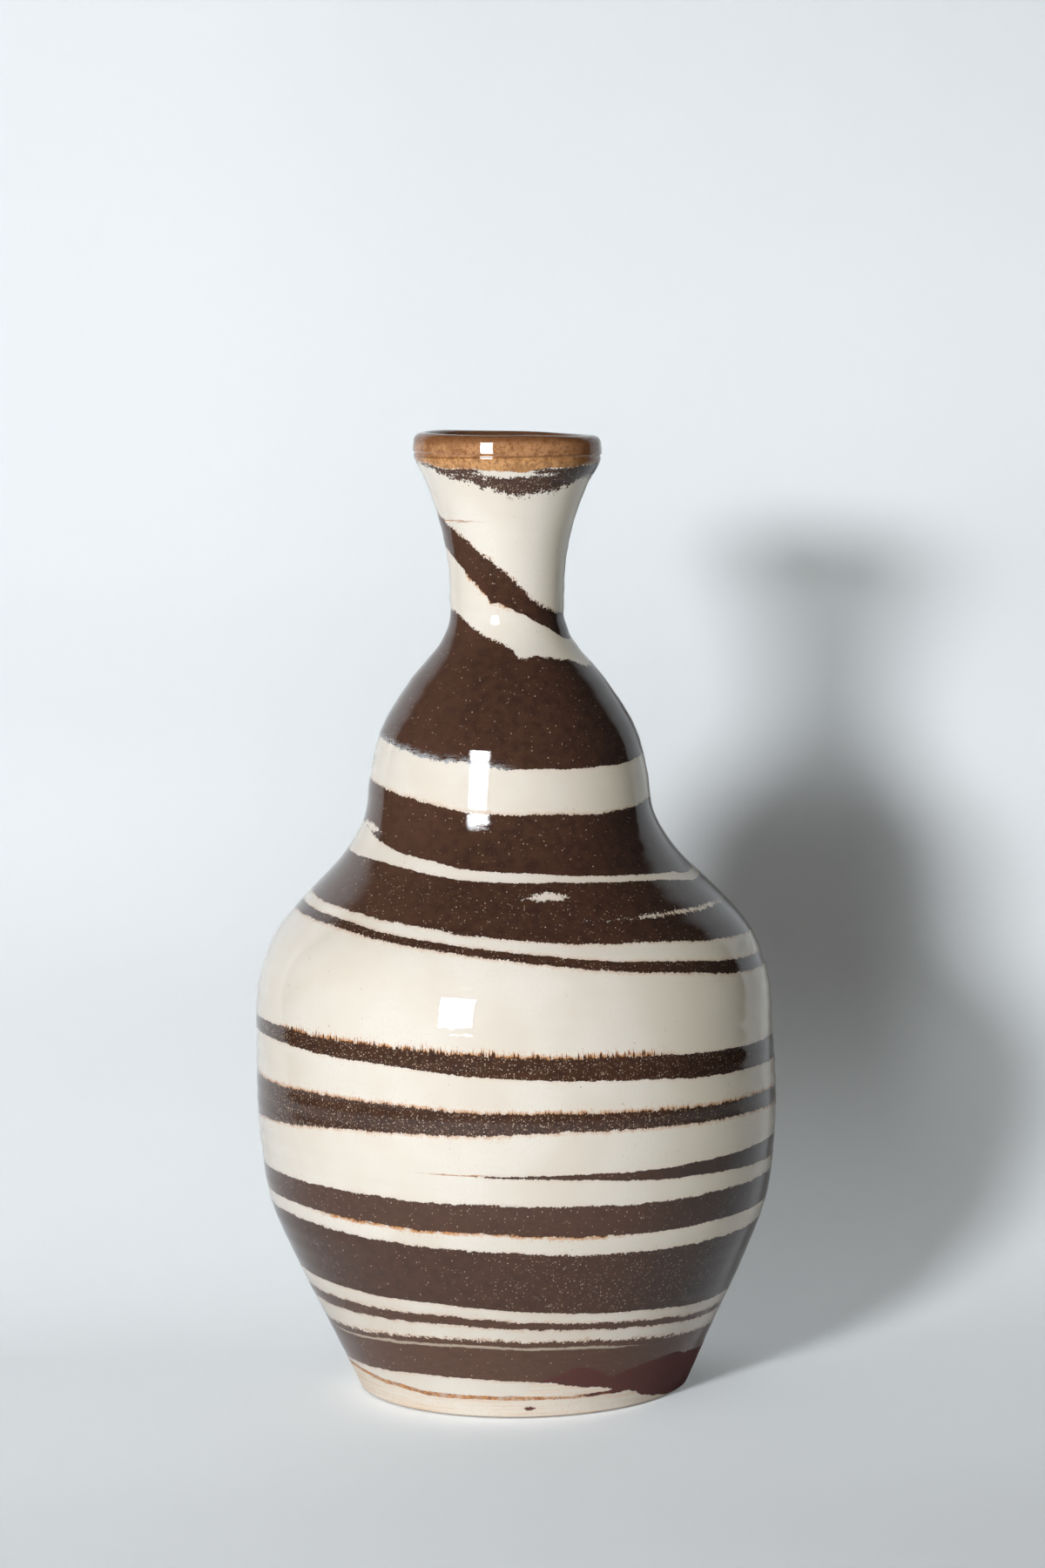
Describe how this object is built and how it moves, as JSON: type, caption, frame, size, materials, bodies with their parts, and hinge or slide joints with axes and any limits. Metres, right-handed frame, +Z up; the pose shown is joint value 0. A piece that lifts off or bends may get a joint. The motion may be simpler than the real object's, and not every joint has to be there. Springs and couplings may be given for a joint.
{
  "type": "marbled clay bottle vase",
  "caption": "Hand-thrown bottle vase of marbled white and brown clay: round belly, small upper bulb, narrow neck and rolled amber lip.",
  "frame": {"origin": "centre of the foot, on the surface the vase stands on, below the middle of the belly", "axes": "+Z up through the mouth, -Y to the front that the picture shows, +X to its right"},
  "size_m": [0.1257, 0.1256, 0.2307],
  "materials": {
    "white_clay": "cream-white clay with small dark specks under a clear glossy glaze, bare and matt at the foot",
    "brown_clay": "dark brown iron clay with pale grains under a clear glossy glaze, bare red-brown at the foot",
    "amber_clay": "amber-glazed lip with dark throwing lines"
  },
  "bodies": {
    "root": {"foot_and_floor": "white_clay", "foot_brown_band": "brown_clay", "foot_white_band": "white_clay", "lower_brown_thread": "brown_clay", "lower_white_band": "white_clay", "belly_brown_broad": "brown_clay", "belly_white_narrow": "white_clay", "belly_brown_middle": "brown_clay", "belly_white_under_sliver": "white_clay", "belly_brown_sliver": "brown_clay", "belly_white_over_sliver": "white_clay", "belly_brown_grainy": "brown_clay", "belly_white_upper": "white_clay", "belly_brown_upper": "brown_clay", "belly_white_broad": "white_clay", "shoulder_brown_thread": "brown_clay", "shoulder_white_thread": "white_clay", "shoulder_brown_broad": "brown_clay", "shoulder_white_seam": "white_clay", "waist_brown_band": "brown_clay", "bulb_white_band": "white_clay", "bulb_brown_broad": "brown_clay", "neck_white_lower": "white_clay", "neck_brown_diagonal": "brown_clay", "neck_white_upper": "white_clay", "mouth_brown_band": "brown_clay", "amber_rim": "amber_clay"}
  },
  "joints": []
}
